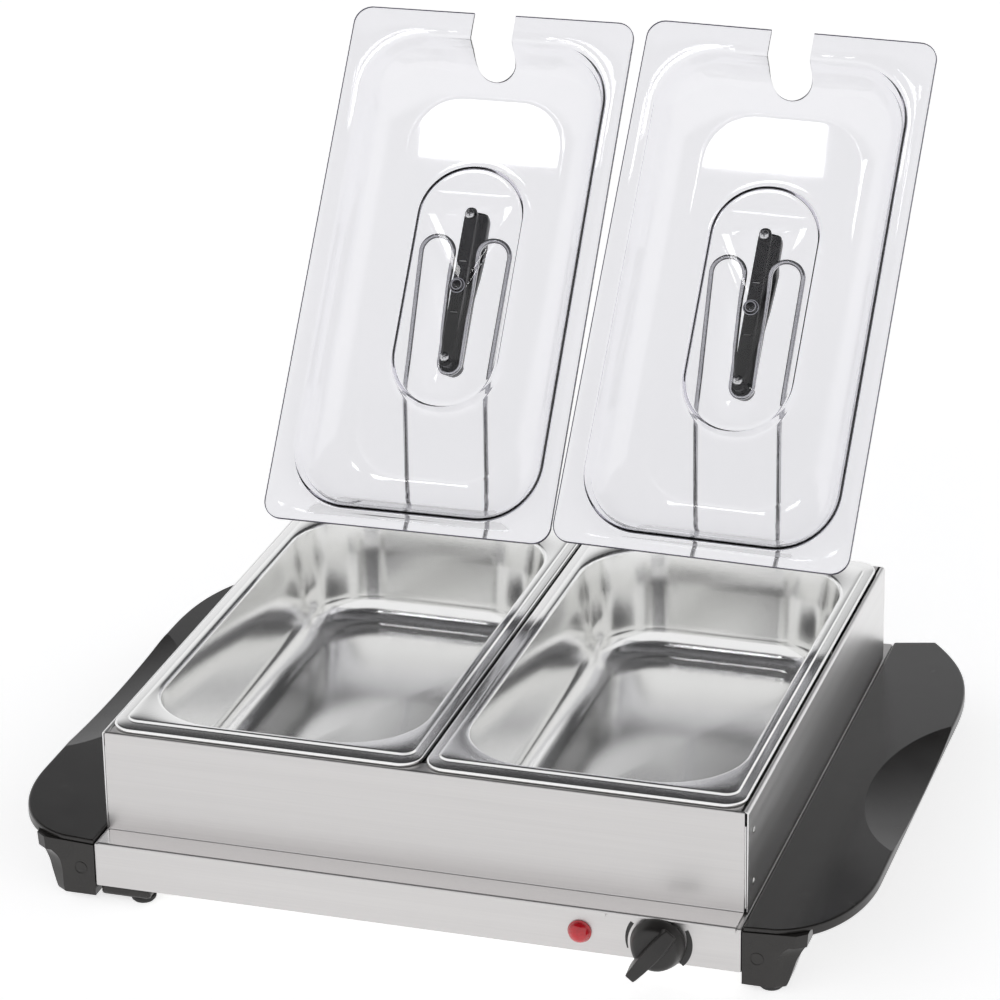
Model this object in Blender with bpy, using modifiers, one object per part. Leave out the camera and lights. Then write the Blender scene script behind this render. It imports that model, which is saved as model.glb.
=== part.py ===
"""Countertop twin buffet server: heated base, pan frame, two pans, two lids on wire stands.

Everything is measured from the deck, the flat steel top of the heated base. The deck empty
stands at the middle of the pan frame, DECK_Z above the table.
"""
import math

import bmesh
import bpy
from mathutils import Matrix, Vector

for old in list(bpy.data.objects):
    bpy.data.objects.remove(old, do_unlink=True)

# Driving dimensions, in metres, measured from the deck empty.
DECK_Z = 0.036
DECK_Y = -0.0425
GAP = 0.0003
SHEET = 0.0009

BASE_HALF_X = 0.1814
BASE_FRONT = -0.181
BASE_REAR = 0.187
BASE_DROP = 0.0253

FRAME_HALF_X = 0.18045
FRAME_HALF_Y = 0.16445
FRAME_TOP = 0.0596
FRAME_LIP = 0.0100
FLANGE_REACH = 0.0014
FLANGE_LIP = 0.0045
FRONT_HALF_X = 0.1786

PAN_X = 0.089
PAN_HALF_X = 0.088
PAN_HALF_Y = 0.1625
PAN_SHEET = 0.0008
PAN_RIM_TOP = 0.0625
PAN_BOTTOM = 0.0009

KNOB_X = 0.137
KNOB_Z = -0.0135
POINTER_ANGLE = math.radians(231.5)
LAMP_X = 0.0938
LAMP_Z = -0.0135
INLET_X = 0.120
INLET_Z = -0.0135

LID_X = 0.0903
LID_HALF_X = 0.088
LID_HALF_LENGTH = 0.1625
LID_SHEET = 0.0026
LID_EDGE_Y = 0.0812
LID_EDGE_Z = 0.0866
LID_LEAN = math.radians(38.5)
LID_ROLL = {"left": math.radians(0.45), "right": math.radians(-0.8)}
DOME_DEPTH = 0.0270
WELL_DEPTH = 0.0209
HANDLE_V = -0.0037
SCREW_PITCH = 0.0905

WIRE_R = 0.0015
WIRE_LEAN = math.radians(32.0)
WIRE_Y = 0.168
WIRE_KINK_Z = 0.1396
WIRE_SHIFT_X = {"left": 0.0, "right": -0.0007}
LEG_HALF = 0.0252
SHOULDER_HALF = 0.0277
SLOT_HALF = 0.0078
U_BOTTOM = 0.0111
ARCH_TOP = 0.0950
STAND_RISE = {"left": 0.0, "right": 0.003}
SIDES = {"left": -1, "right": 1}

WING_TOP = 0.0011
WING_THICKNESS = 0.0058
WING_TILT = math.radians(3.0)
POCKET_ROOF = 0.0022
LEG_REACH = 0.0355

# Finishes: colour, roughness, metallic, alpha.
FINISHES = {
    "brushed steel": ((0.66, 0.65, 0.64), 0.30, 1.0, 1.0),
    "satin steel": ((0.60, 0.60, 0.60), 0.22, 1.0, 1.0),
    "chromed wire": ((0.72, 0.72, 0.73), 0.08, 1.0, 1.0),
    "zinc": ((0.55, 0.55, 0.54), 0.40, 1.0, 1.0),
    "black plastic": ((0.022, 0.021, 0.020), 0.38, 0.0, 1.0),
    "black rubber": ((0.015, 0.015, 0.015), 0.80, 0.0, 1.0),
    "clear plastic": ((0.93, 0.94, 0.97), 0.04, 0.0, 0.3),
    "red lens": ((0.70, 0.02, 0.03), 0.12, 0.0, 1.0),
    "white ceramic": ((0.80, 0.79, 0.76), 0.55, 0.0, 1.0),
    "mineral wool": ((0.72, 0.66, 0.48), 0.95, 0.0, 1.0),
    "wire sleeve": ((0.75, 0.74, 0.70), 0.60, 0.0, 1.0),
}

PARTS = bpy.data.collections.new("twin_buffet_server")
CUTTERS = bpy.data.collections.new("cutters")
bpy.context.scene.collection.children.link(PARTS)
bpy.context.scene.collection.children.link(CUTTERS)


# ---------------------------------------------------------------- helpers

def empty(name, location, rotation=(0.0, 0.0, 0.0), parent=None):
    """An empty that other pieces hang from."""
    frame = bpy.data.objects.new(name, None)
    frame.empty_display_size = 0.02
    frame.location = location
    frame.rotation_euler = rotation
    frame.parent = parent
    PARTS.objects.link(frame)
    return frame


def paint(obj, finish):
    """Give an object its own Principled material."""
    colour, roughness, metallic, alpha = FINISHES[finish]
    mat = bpy.data.materials.new(obj.name)
    mat.use_nodes = True
    shader = mat.node_tree.nodes["Principled BSDF"]
    shader.inputs["Base Color"].default_value = (*colour, 1.0)
    shader.inputs["Roughness"].default_value = roughness
    shader.inputs["Metallic"].default_value = metallic
    shader.inputs["Alpha"].default_value = alpha
    obj.data.materials.append(mat)


def place(name, data, finish, parent, location=(0, 0, 0), rotation=(0, 0, 0)):
    """Link a mesh or curve as a named sub-part; a finish of None makes a cutter."""
    obj = bpy.data.objects.new(name, data)
    obj.location = location
    obj.rotation_euler = rotation
    obj.parent = parent
    if finish is None:
        CUTTERS.objects.link(obj)
        obj.hide_render = True
        obj.display_type = "WIRE"
        return obj
    PARTS.objects.link(obj)
    paint(obj, finish)
    return obj


def to_mesh(name, bm, sharp_angle=35.0):
    """Turn a bmesh into a smooth-shaded mesh with sharp creases kept."""
    bmesh.ops.recalc_face_normals(bm, faces=bm.faces)
    mesh = bpy.data.meshes.new(name)
    bm.to_mesh(mesh)
    bm.free()
    mesh.shade_smooth()
    mesh.set_sharp_from_angle(angle=math.radians(sharp_angle))
    return mesh


def add_block(bm, low, high):
    """Add a block between two corners to a bmesh."""
    corners = bmesh.ops.create_cube(bm, size=1.0)["verts"]
    size = [b - a for a, b in zip(low, high)]
    middle = [(a + b) / 2 for a, b in zip(low, high)]
    bmesh.ops.scale(bm, vec=size, verts=corners)
    bmesh.ops.translate(bm, vec=middle, verts=corners)


def box_mesh(name, low, high):
    """A block between two corners."""
    bm = bmesh.new()
    add_block(bm, low, high)
    return to_mesh(name, bm)


def box(name, low, high, finish, parent, bevel=0.0, segments=2):
    """A block between two corners as a sub-part, with softened edges where asked."""
    obj = place(name, box_mesh(name, low, high), finish, parent)
    if bevel:
        round_edges(obj, bevel, segments)
    return obj


def disc_mesh(name, radius, low, high, axis, sides=24):
    """A cylinder along an axis, between two positions on it."""
    bm = bmesh.new()
    bmesh.ops.create_cone(bm, cap_ends=True, segments=sides, radius1=radius, radius2=radius,
                          depth=high - low)
    bmesh.ops.translate(bm, vec=(0, 0, (low + high) / 2), verts=bm.verts)
    turn = {"X": Matrix.Rotation(math.pi / 2, 3, "Y"), "Z": Matrix.Identity(3),
            "Y": Matrix.Rotation(-math.pi / 2, 3, "X")}[axis]
    bmesh.ops.rotate(bm, matrix=turn, verts=bm.verts)
    return to_mesh(name, bm)


def round_edges(obj, width, segments=2, angle=40.0):
    mod = obj.modifiers.new("rounded edges", "BEVEL")
    mod.width = width
    mod.segments = segments
    mod.limit_method = "ANGLE"
    mod.angle_limit = math.radians(angle)


def thicken(obj, thickness, offset=0.0):
    mod = obj.modifiers.new("sheet", "SOLIDIFY")
    mod.thickness = thickness
    mod.offset = offset
    mod.use_even_offset = True


def combine(obj, other, operation="DIFFERENCE"):
    mod = obj.modifiers.new(other.name, "BOOLEAN")
    mod.operation = operation
    mod.solver = "EXACT"
    mod.object = other


def cutter_disc(obj, radius, at, axis, reach, sides=24):
    """Bore a round hole through an object around the point at, reach each way."""
    mesh = disc_mesh(obj.name + "_bore", radius, -reach, reach, axis, sides)
    combine(obj, place(mesh.name, mesh, None, obj.parent, at))


def cutter_box(obj, low, high):
    """Cut a square notch or slot between two corners."""
    mesh = box_mesh(obj.name + "_notch", low, high)
    combine(obj, place(mesh.name, mesh, None, obj.parent))


def turned(name, profile, finish, parent, location, rotation=(0, 0, 0), steps=20):
    """A turned piece: (radius, height) pairs from top to bottom, spun about local Z."""
    mesh = bpy.data.meshes.new(name)
    points = [(r, 0.0, z) for r, z in profile]
    mesh.from_pydata(points, [(i, i + 1) for i in range(len(points) - 1)], [])
    obj = place(name, mesh, finish, parent, location, rotation)
    mod = obj.modifiers.new("turning", "SCREW")
    mod.steps = steps
    mod.render_steps = steps
    mod.use_merge_vertices = True
    mod.merge_threshold = 0.00001
    mod.use_smooth_shade = True
    return obj


def arc(centre, radius, start, end, steps):
    """Points on a circle, angles in degrees."""
    angles = [math.radians(start + (end - start) * i / steps) for i in range(steps + 1)]
    return [(centre[0] + radius * math.cos(a), centre[1] + radius * math.sin(a)) for a in angles]


def bent(points, radius, steps=3):
    """Round the inner corners of a polyline with arcs of one radius, in any dimension."""
    path = [Vector(points[0])]
    for before, corner, after in zip(points, points[1:], points[2:]):
        corner = Vector(corner)
        back = (Vector(before) - corner).normalized()
        ahead = (Vector(after) - corner).normalized()
        half = back.angle(ahead) / 2
        reach = radius / math.tan(half)
        centre = corner + (back + ahead).normalized() * radius / math.sin(half)
        start = corner + back * reach - centre
        end = corner + ahead * reach - centre
        sweep = start.angle(end)
        for i in range(steps + 1):
            t = i / steps
            a = math.sin((1 - t) * sweep) / math.sin(sweep)
            b = math.sin(t * sweep) / math.sin(sweep)
            path.append(centre + start * a + end * b)
    path.append(Vector(points[-1]))
    return path


def folded_sheet(name, path, along, low, high, finish, parent, thickness=SHEET):
    """A sheet with bends: a path in the plane across one axis, pulled along that axis."""
    spots = {"X": lambda p: (low, p[0], p[1]), "Y": lambda p: (p[0], low, p[1])}[along]
    pull = {"X": (high - low, 0, 0), "Y": (0, high - low, 0)}[along]
    bm = bmesh.new()
    verts = [bm.verts.new(spots(p)) for p in path]
    edges = [bm.edges.new(pair) for pair in zip(verts, verts[1:])]
    grown = bmesh.ops.extrude_edge_only(bm, edges=edges)["geom"]
    moved = [g for g in grown if isinstance(g, bmesh.types.BMVert)]
    bmesh.ops.translate(bm, vec=pull, verts=moved)
    obj = place(name, to_mesh(name, bm), finish, parent)
    thicken(obj, thickness)
    return obj


def rounded_rectangle(half_x, half_y, radius, z, centre_y=0.0, steps=6):
    """One ring of points, anticlockwise from the right-hand side."""
    ring = []
    corners = ((1, 1, 0), (-1, 1, 90), (-1, -1, 180), (1, -1, 270))
    for sx, sy, start in corners:
        middle = (sx * (half_x - radius), centre_y + sy * (half_y - radius))
        ring += [(x, y, z) for x, y in arc(middle, radius, start, start + 90, steps)]
    return ring


def loft_mesh(name, rings, cap_first=False, cap_last=True):
    """Skin a stack of rings that have the same number of points."""
    bm = bmesh.new()
    loops = [[bm.verts.new(p) for p in ring] for ring in rings]
    for lower, upper in zip(loops, loops[1:]):
        count = len(lower)
        for i in range(count):
            j = (i + 1) % count
            bm.faces.new((lower[i], lower[j], upper[j], upper[i]))
    if cap_first:
        bm.faces.new(list(reversed(loops[0])))
    if cap_last:
        bm.faces.new(loops[-1])
    return to_mesh(name, bm)


def plate(name, outline, thickness, finish, parent, location=(0, 0, 0), rotation=(0, 0, 0)):
    """A flat outline with thickness, as a mesh: its top face at the local z of zero."""
    curve = bpy.data.curves.new(name, "CURVE")
    curve.dimensions = "2D"
    curve.fill_mode = "BOTH"
    curve.extrude = thickness / 2
    spline = curve.splines.new("POLY")
    spline.points.add(len(outline) - 1)
    for point, (x, y) in zip(spline.points, outline):
        point.co = (x, y, 0.0, 1.0)
    spline.use_cyclic_u = True
    mesh = curve_to_mesh(name, curve)
    mesh.transform(Matrix.Translation((0, 0, -thickness / 2)))
    return place(name, mesh, finish, parent, location, rotation)


def curve_to_mesh(name, curve):
    """A curve's surface as one welded closed mesh."""
    guide = bpy.data.objects.new(name + "_guide", curve)
    bpy.context.scene.collection.objects.link(guide)
    bpy.context.view_layer.update()
    depsgraph = bpy.context.evaluated_depsgraph_get()
    raw = bpy.data.meshes.new_from_object(guide.evaluated_get(depsgraph))
    bpy.data.objects.remove(guide)
    bm = bmesh.new()
    bm.from_mesh(raw)
    bmesh.ops.remove_doubles(bm, verts=bm.verts, dist=0.00001)
    bpy.data.meshes.remove(raw)
    return to_mesh(name, bm)


def tube(name, path, radius, finish, parent, location=(0, 0, 0)):
    """A round bar along a path of points, with flat ends."""
    curve = bpy.data.curves.new(name, "CURVE")
    curve.dimensions = "3D"
    curve.bevel_depth = radius
    curve.bevel_resolution = 2
    curve.use_fill_caps = True
    spline = curve.splines.new("POLY")
    spline.points.add(len(path) - 1)
    for point, co in zip(spline.points, path):
        point.co = (*co, 1.0)
    return place(name, curve, finish, parent, location)


def bezier(p0, p1, p2, p3, steps):
    """Points on one cubic curve."""
    points = []
    for i in range(steps + 1):
        t = i / steps
        s = 1 - t
        weights = (s ** 3, 3 * s * s * t, 3 * s * t * t, t ** 3)
        points.append(tuple(sum(w * p[k] for w, p in zip(weights, (p0, p1, p2, p3)))
                            for k in range(2)))
    return points


# ---------------------------------------------------------------- heated base

def base_shell(deck):
    """The folded steel tray, open underneath, with holes for lamp, knob shaft and inlet."""
    bm = bmesh.new()
    bmesh.ops.create_cube(bm, size=1.0)
    bottom = [f for f in bm.faces if f.normal.z < -0.5]
    bmesh.ops.delete(bm, geom=bottom, context="FACES")
    length = BASE_REAR - BASE_FRONT
    bmesh.ops.scale(bm, vec=(2 * BASE_HALF_X, length, BASE_DROP), verts=bm.verts)
    middle = (0, (BASE_REAR + BASE_FRONT) / 2, -BASE_DROP / 2)
    bmesh.ops.translate(bm, vec=middle, verts=bm.verts)
    mesh = bpy.data.meshes.new("base_shell")
    bm.to_mesh(mesh)
    bm.free()
    shell = place("base_shell", mesh, "brushed steel", deck)
    round_edges(shell, 0.0012, 2)
    thicken(shell, SHEET, -1.0)
    cutter_disc(shell, 0.0046, (KNOB_X, BASE_FRONT, KNOB_Z), "Y", 0.003)
    cutter_disc(shell, 0.0050, (LAMP_X, BASE_FRONT, LAMP_Z), "Y", 0.003)
    cutter_disc(shell, 0.0060, (INLET_X, BASE_REAR, INLET_Z), "Y", 0.003)


def bottom_plate(deck):
    """The plate that closes the base below, with vent slots and four screw heads."""
    inset = SHEET + GAP
    floor = box("bottom_plate", (-BASE_HALF_X + inset, BASE_FRONT + inset, -0.0250),
                (BASE_HALF_X - inset, BASE_REAR - inset, -0.0240), "zinc", deck)
    for i in range(6):
        x = (i - 2.5) * 0.040
        cutter_box(floor, (x - 0.003, 0.060, -0.030), (x + 0.003, 0.110, -0.020))
    for i, (x, y) in enumerate(((-1, -1), (1, -1), (-1, 1), (1, 1))):
        head = [(0.0, -0.0003), (0.0031, -0.0003), (0.0029, -0.0013), (0.0016, -0.0020),
                (0.0, -0.0020)]
        turned(f"bottom_screw_{i + 1}", head, "zinc", deck, (x * 0.150, y * 0.120, -0.0250))


def wing_outline():
    """Half of the handle's plan, from the inner edge out, front to back."""
    inner = 0.0
    outer = 0.0583
    front = [(inner, -0.180), (0.018, -0.180)]
    front_corner = bezier((0.018, -0.180), (0.041, -0.1765), (outer, -0.150), (outer, -0.110), 9)
    rear_corner = bezier((outer, 0.088), (outer, 0.135), (0.048, 0.160), (0.0245, 0.191), 8)
    return front + front_corner[1:] + rear_corner + [(inner, 0.187)]


def wing(deck, side):
    """A moulded side handle: a finger scoop above, and a pocket over each leg block below."""
    sign = SIDES[side]
    name = f"wing_handle_{side}"
    outline = [(sign * x, y) for x, y in wing_outline()]
    if sign < 0:
        outline.reverse()
    inner_x = sign * (BASE_HALF_X + GAP)
    handle = plate(name, outline, WING_THICKNESS, "black plastic", deck, (inner_x, 0, WING_TOP),
                   (0, -WING_TILT * sign, 0))
    round_edges(handle, 0.0012, 2, 60.0)
    bm = bmesh.new()
    bmesh.ops.create_uvsphere(bm, u_segments=48, v_segments=24, radius=1.0)
    bmesh.ops.scale(bm, vec=(0.083, 0.136, 0.0172), verts=bm.verts)
    bmesh.ops.translate(bm, vec=(sign * 0.0833, -0.002, 0.0129), verts=bm.verts)
    low_x, high_x = sorted((-0.002 * sign, LEG_REACH * sign))
    add_block(bm, (low_x, -0.185, -0.012), (high_x, -0.157, -POCKET_ROOF))
    add_block(bm, (low_x, 0.163, -0.012), (high_x, 0.195, -POCKET_ROOF))
    combine(handle, place(name + "_hollows", to_mesh(name + "_hollows", bm), None, handle))
    return handle


def leg_block(deck, side, end):
    """A moulded corner leg: a header let into the handle and a column flaring outward."""
    sign = SIDES[side]
    mirror_y = 1 if end == "front" else -1
    face = BASE_FRONT if end == "front" else -BASE_REAR
    name = f"leg_block_{end}_{side}"
    inner = BASE_HALF_X + GAP
    header_low = -0.0075
    header_top = WING_TOP - POCKET_ROOF - GAP
    floor = -0.0320
    outline = ((0.1990, 0.2040, 0.0035, 0.017, floor), (0.2002, 0.2056, 0.0035, 0.018, -0.0305),
               (0.2008, 0.2095, 0.0050, 0.019, -0.0170), (0.2025, 0.2125, 0.0060, 0.021, -0.0115),
               (0.2066, 0.2150, 0.0060, 0.022, header_low),
               (0.2100, 0.2156, 0.0040, 0.023, header_low + 0.0002),
               (0.2106, 0.2162, 0.0040, 0.023, header_top))
    rings = []
    for front_x, side_x, side_y, back_y, z in outline:
        slope = math.tan(WING_TILT) if z == header_top else 0.0
        corners = ((inner, face), (front_x, face), (side_x, face + side_y),
                   (side_x, face + back_y), (inner, face + back_y))
        rings.append([(sign * x, mirror_y * y, z + slope * (x - inner)) for x, y in corners])
    block = place(name, loft_mesh(name, rings, cap_first=True), "black plastic", deck)
    round_edges(block, 0.0006, 2, 50.0)
    return block


def feet(deck):
    """Three feet under leg blocks, and the front-left one on a pad further inboard."""
    box("foot_pad", (-0.1795, -0.1790, -0.0320), (-0.1508, -0.1580, -0.0256),
        "black plastic", deck, 0.002, 2)
    spots = {"foot_front_left": (-0.158, -0.1700), "foot_front_right": (0.1955, -0.1715),
             "foot_rear_left": (-0.1935, 0.1780), "foot_rear_right": (0.1935, 0.1780)}
    top = -0.0323
    profile = [(0.0, 0.0), (0.0070, 0.0), (0.0070, -0.0018), (0.0058, -DECK_Z - top),
               (0.0, -DECK_Z - top)]
    for name, (x, y) in spots.items():
        turned(name, profile, "black rubber", deck, (x, y, top))


def knob(deck):
    """Dial, overhanging pointer bar and the control shaft; the axis runs along Y."""
    axis = empty("knob_axis", (KNOB_X, BASE_FRONT, KNOB_Z), parent=deck)
    dial = turned("control_knob", [(0.0, 0.0095), (0.0100, 0.0095), (0.0122, 0.0085),
                                   (0.0146, 0.0020), (0.0148, 0.0), (0.0, 0.0)],
                  "black plastic", axis, (0, -0.0022, 0), (math.pi / 2, 0, 0), 36)
    bar_mesh = box_mesh("knob_bar", (-0.0150, -0.0038, 0.0060), (0.0178, 0.0038, 0.0175))
    aim = Matrix.Rotation(math.pi / 2, 3, "X") @ Matrix.Rotation(POINTER_ANGLE, 3, "Z")
    bar = place("knob_bar", bar_mesh, None, axis, (0, -0.0022, 0), aim.to_euler())
    round_edges(bar, 0.0016, 2)
    combine(dial, bar, "UNION")
    cutter_disc(dial, 0.0033, (0, 0, 0), "Y", 0.0080)
    shaft = disc_mesh("knob_shaft", 0.0030, -0.0075, 0.0150, "Y", 20)
    place("knob_shaft", shaft, "zinc", axis)


def controls(deck):
    """Thermostat behind the knob, and the indicator lamp beside it."""
    half_x = 0.014
    thermostat = box("thermostat", (KNOB_X - half_x, BASE_FRONT + 0.0014, KNOB_Z - 0.0095),
                     (KNOB_X + half_x, BASE_FRONT + 0.0210, KNOB_Z + 0.0095),
                     "white ceramic", deck, 0.001, 1)
    cutter_disc(thermostat, 0.0033, (KNOB_X, BASE_FRONT, KNOB_Z), "Y", 0.0160)
    lens = [(0.0, 0.0052), (0.0024, 0.0050), (0.0044, 0.0040), (0.0056, 0.0024), (0.00600, 0.0013),
            (0.00635, 0.0012), (0.00635, 0.0003), (0.0046, 0.0003), (0.0046, -0.0012), (0.0, -0.0012)]
    turned("lamp_lens", lens, "red lens", deck, (LAMP_X, BASE_FRONT, LAMP_Z),
           (math.pi / 2, 0, 0), 32)
    holder = disc_mesh("lamp_holder", 0.0062, 0.0, 0.018, "Y", 20)
    place("lamp_holder", holder, "white ceramic", deck, (LAMP_X, BASE_FRONT + 0.0015, LAMP_Z))


def heating(deck):
    """Tubular element under a spreader plate, its straps, wool pad and wiring."""
    box("heat_spreader", (-0.165, -0.150, -0.0028), (0.165, 0.160, -0.0013), "satin steel", deck)
    z = -0.0066
    rows = [-0.120, -0.040, 0.040, 0.120]
    corners = [(0.148, 0.148, -0.0066), (0.148, rows[3], z), (-0.140, rows[3], z),
               (-0.140, rows[2], z), (0.120, rows[2], z), (0.120, rows[1], z),
               (-0.140, rows[1], z), (-0.140, rows[0], z), (0.140, rows[0], z)]
    tube("heating_element", bent(corners, 0.020, 5), 0.0032, "zinc", deck)
    for i, y in enumerate((rows[0], rows[3])):
        path = [(y - 0.011, -0.0036), (y - 0.0046, -0.0036), (y - 0.0046, -0.0109),
                (y + 0.0046, -0.0109), (y + 0.0046, -0.0036), (y + 0.011, -0.0036)]
        folded_sheet(f"element_strap_{i + 1}", bent(path, 0.001, 2), "X", -0.006, 0.006,
                     "zinc", deck)
    box("insulation_pad", (-0.160, -0.140, -0.0225), (0.160, 0.150, -0.0125), "mineral wool", deck)
    box("terminal_block", (0.060, 0.160, -0.0225), (0.090, 0.176, -0.0105), "white ceramic", deck)
    lead = bent([(KNOB_X + 0.0145, -0.168, -0.012), (0.168, -0.168, -0.012), (0.168, 0.168, -0.015),
                 (0.0905, 0.168, -0.015)], 0.008, 3)
    tube("lead_thermostat", lead, 0.0011, "wire sleeve", deck)
    lead = bent([(LAMP_X - 0.0066, -0.172, LAMP_Z), (-0.168, -0.172, LAMP_Z), (-0.168, 0.168, -0.016),
                 (0.0595, 0.168, -0.016)], 0.008, 3)
    tube("lead_lamp", lead, 0.0011, "wire sleeve", deck)


def inlet(deck):
    """Plain bushing that the supply cord would enter through."""
    profile = [(0.0042, 0.0030), (0.0080, 0.0030), (0.0080, 0.0003), (0.0056, 0.0003),
               (0.0056, -0.0030), (0.0042, -0.0030), (0.0042, 0.0030)]
    turned("inlet_bushing", profile, "black rubber", deck, (INLET_X, BASE_REAR, INLET_Z),
           (-math.pi / 2, 0, 0), 24)


# ---------------------------------------------------------------- pan frame

def pan_frame(deck):
    """Folded front and rear panels, hemmed sides and the rail between the pans."""
    half = SHEET / 2
    top = FRAME_TOP - half
    front = -FRAME_HALF_Y + half
    lip_y = BASE_FRONT - FLANGE_REACH + half
    flange_z = GAP + half
    path = bent([(lip_y, flange_z - FLANGE_LIP), (lip_y, flange_z), (front, flange_z),
                 (front, top), (front + FRAME_LIP, top)], 0.0009, 3)
    panel = folded_sheet("frame_front", path, "X", -FRONT_HALF_X, FRONT_HALF_X,
                         "brushed steel", deck)
    cutter_box(panel, (0.1084, -0.190, -0.010), (0.1605, BASE_FRONT - GAP, 0.0002))
    corner_notches(panel, -1)
    path = bent([(-front, flange_z), (-front, top), (-front - FRAME_LIP, top)], 0.0009, 3)
    panel = folded_sheet("frame_rear", path, "X", -FRONT_HALF_X, FRONT_HALF_X,
                         "brushed steel", deck)
    corner_notches(panel, 1)
    for side, sign in SIDES.items():
        outer = sign * (FRAME_HALF_X - half)
        hem = outer - sign * 0.0026
        path = bent([(outer, flange_z), (outer, top), (hem, top), (hem, top - 0.0045)], 0.0012, 3)
        reach = FRAME_HALF_Y - 0.0012
        folded_sheet(f"frame_side_{side}", path, "Y", -reach, reach, "brushed steel", deck)
    rail_reach = FRAME_HALF_Y - SHEET - GAP
    rail_top = FRAME_TOP - SHEET - GAP - half
    path = bent([(-0.0075, rail_top - 0.014), (-0.0075, rail_top), (0.0075, rail_top),
                 (0.0075, rail_top - 0.014)], 0.0009, 2)
    folded_sheet("divider_rail", path, "Y", -rail_reach, rail_reach, "satin steel", deck)
    corner_angles(deck)


def corner_notches(panel, end):
    """Relieve the folded lip at both ends, so the hemmed sides pass it."""
    for sign in SIDES.values():
        xs = sorted((sign * 0.1762, sign * 0.190))
        ys = sorted((end * (FRAME_HALF_Y - 0.0010), end * (FRAME_HALF_Y - 0.020)))
        cutter_box(panel, (xs[0], ys[0], FRAME_TOP - 0.008), (xs[1], ys[1], FRAME_TOP + 0.005))


def corner_angles(deck):
    """Angles riveted inside the four corners, with rivet heads on the side panels."""
    inner_x = FRAME_HALF_X - SHEET - GAP - SHEET / 2
    inner_y = FRAME_HALF_Y - SHEET - GAP - SHEET / 2
    for side, sx in SIDES.items():
        for end, sy in (("front", -1), ("rear", 1)):
            corner = [(sx * inner_x, sy * (inner_y - 0.016)), (sx * inner_x, sy * inner_y),
                      (sx * (inner_x - 0.009), sy * inner_y)]
            bm = bmesh.new()
            verts = [bm.verts.new((x, y, 0.003)) for x, y in corner]
            edges = [bm.edges.new(pair) for pair in zip(verts, verts[1:])]
            grown = bmesh.ops.extrude_edge_only(bm, edges=edges)["geom"]
            moved = [g for g in grown if isinstance(g, bmesh.types.BMVert)]
            bmesh.ops.translate(bm, vec=(0, 0, 0.048), verts=moved)
            name = f"corner_angle_{end}_{side}"
            thicken(place(name, to_mesh(name, bm), "satin steel", deck), SHEET)
        for i, z in enumerate((0.0444, 0.0142)):
            head = [(0.0, 0.0011), (0.0012, 0.0009), (0.0021, 0.0003), (0.0, 0.0003)]
            turned(f"rivet_{side}_{i + 1}", head, "zinc", deck, (sx * FRAME_HALF_X, -0.153, z),
                   (0, sx * math.pi / 2, 0), 14)


def stand_socket(deck, side):
    """A bracket on the back of the frame with two blind tubes for the wire legs."""
    centre = SIDES[side] * LID_X + WIRE_SHIFT_X[side]
    name = f"stand_socket_{side}"
    back = FRAME_HALF_Y + GAP
    bracket = box(name, (centre - 0.034, back, 0.012), (centre + 0.034, back + 0.0012, 0.040),
                  "satin steel", deck)
    for sign in (-1, 1):
        x = centre + sign * LEG_HALF
        sleeve = disc_mesh(f"{name}_tube", 0.0031, 0.006, 0.046, "Z", 20)
        combine(bracket, place(sleeve.name, sleeve, None, deck, (x, WIRE_Y, 0)), "UNION")
        bore = disc_mesh(f"{name}_bore", WIRE_R + GAP, 0.009, 0.050, "Z", 20)
        combine(bracket, place(bore.name, bore, None, deck, (x, WIRE_Y, 0)))


# ---------------------------------------------------------------- pans

def pan(deck, side):
    """A pressed food pan with a stepped rim, round corners and a wide bottom radius."""
    z = PAN_RIM_TOP
    rings = [
        rounded_rectangle(PAN_HALF_X - 0.0004, PAN_HALF_Y - 0.0004, 0.0116, z - 0.0022),
        rounded_rectangle(PAN_HALF_X - 0.0004, PAN_HALF_Y - 0.0004, 0.0116, z - 0.0010),
        rounded_rectangle(PAN_HALF_X - 0.0012, PAN_HALF_Y - 0.0012, 0.0108, z - 0.0004),
        rounded_rectangle(PAN_HALF_X - 0.0056, PAN_HALF_Y - 0.0096, 0.0074, z - 0.0004),
        rounded_rectangle(PAN_HALF_X - 0.0062, PAN_HALF_Y - 0.0102, 0.0068, z + 0.0005),
        rounded_rectangle(0.0779, 0.1493, 0.0450, z + 0.0005),
        rounded_rectangle(0.0768, 0.1482, 0.0440, z - 0.0006),
        rounded_rectangle(0.0715, 0.1429, 0.0400, 0.0180),
    ]
    for degrees in (18, 36, 54, 72, 90):
        a = math.radians(degrees)
        inset = 0.0160 * (1 - math.cos(a))
        drop = 0.0160 * math.sin(a)
        rings.append(rounded_rectangle(0.0712 - inset, 0.1426 - inset, 0.0398 - inset,
                                       PAN_BOTTOM + 0.0160 - drop))
    name = f"pan_{side}"
    obj = place(name, loft_mesh(name, rings), "satin steel", deck, (SIDES[side] * PAN_X, 0, 0))
    thicken(obj, PAN_SHEET)


# ---------------------------------------------------------------- wire stands

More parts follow.
